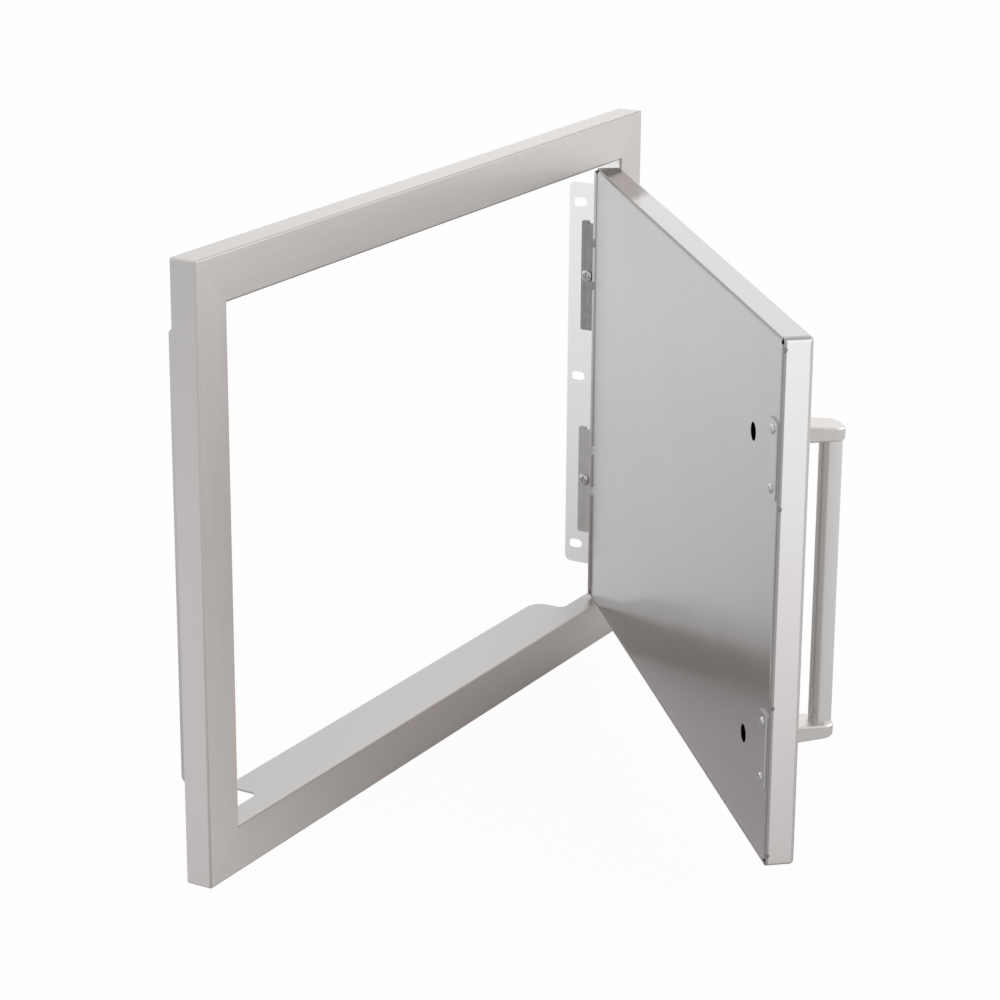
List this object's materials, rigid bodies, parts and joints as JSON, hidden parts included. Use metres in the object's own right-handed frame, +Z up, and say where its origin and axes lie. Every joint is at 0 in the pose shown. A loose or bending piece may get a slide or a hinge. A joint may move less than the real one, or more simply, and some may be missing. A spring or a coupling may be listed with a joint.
{
  "type": "access_door",
  "caption": "Stainless access door for an outdoor kitchen island: a trim frame with fixing tabs and a double-skinned door with a tube handle, hinged on the right and standing open",
  "frame": {"origin": "on the island's face, under the middle of the trim frame: the plane of the trim's back edges, at the height of the frame's lower edge", "axes": "+Z up, +Y into the island, +X to the right for someone who stands in front of the door"},
  "size_m": [0.6096, 0.3952, 0.4318],
  "materials": {
    "frame_stainless": "brushed stainless, the grain along each member",
    "door_stainless": "brushed stainless",
    "liner_stainless": "fine matt stainless sheet",
    "handle_stainless": "satin stainless",
    "hinge_steel": "plain mill-finish stainless, darker than the trim",
    "strike_steel": "plain plated steel that a magnet holds",
    "fastener_steel": "bright stainless fasteners",
    "plated_steel": "zinc-plated magnet poles",
    "weld_bead": "dull tack welds",
    "catch_plastic": "black moulded plastic",
    "magnet_ferrite": "dark grey ferrite"
  },
  "bodies": {
    "frame": {"top_rail": "frame_stainless", "bottom_rail": "frame_stainless", "left_stile": "frame_stainless", "right_stile": "frame_stainless", "upper_hinge_frame_leaf": "hinge_steel", "lower_hinge_frame_leaf": "hinge_steel", "upper_hinge_pin": "hinge_steel", "lower_hinge_pin": "hinge_steel", "hinge_screws": "fastener_steel", "hinge_nuts": "fastener_steel", "upper_catch_body": "catch_plastic", "lower_catch_body": "catch_plastic", "catch_magnets": "magnet_ferrite", "catch_pole_plates": "plated_steel", "catch_screws": "fastener_steel"},
    "door": {"door_outer_pan": "door_stainless", "door_inner_pan": "liner_stainless", "door_tack_welds": "weld_bead", "upper_hinge_door_leaf": "hinge_steel", "lower_hinge_door_leaf": "hinge_steel", "hinge_rivets": "fastener_steel", "handle_tube": "handle_stainless", "upper_handle_post": "handle_stainless", "lower_handle_post": "handle_stainless", "handle_screws": "fastener_steel", "handle_washers": "fastener_steel", "upper_strike_plate": "strike_steel", "lower_strike_plate": "strike_steel", "strike_rivets": "fastener_steel"}
  },
  "joints": [
    {"name": "door_hinge", "type": "hinge", "parent": "frame", "child": "door", "pos_m": [0.2682, -0.0195, 0.2145], "axis": [0, 0, 1], "range_deg": [-40.7, 119.3]}
  ]
}
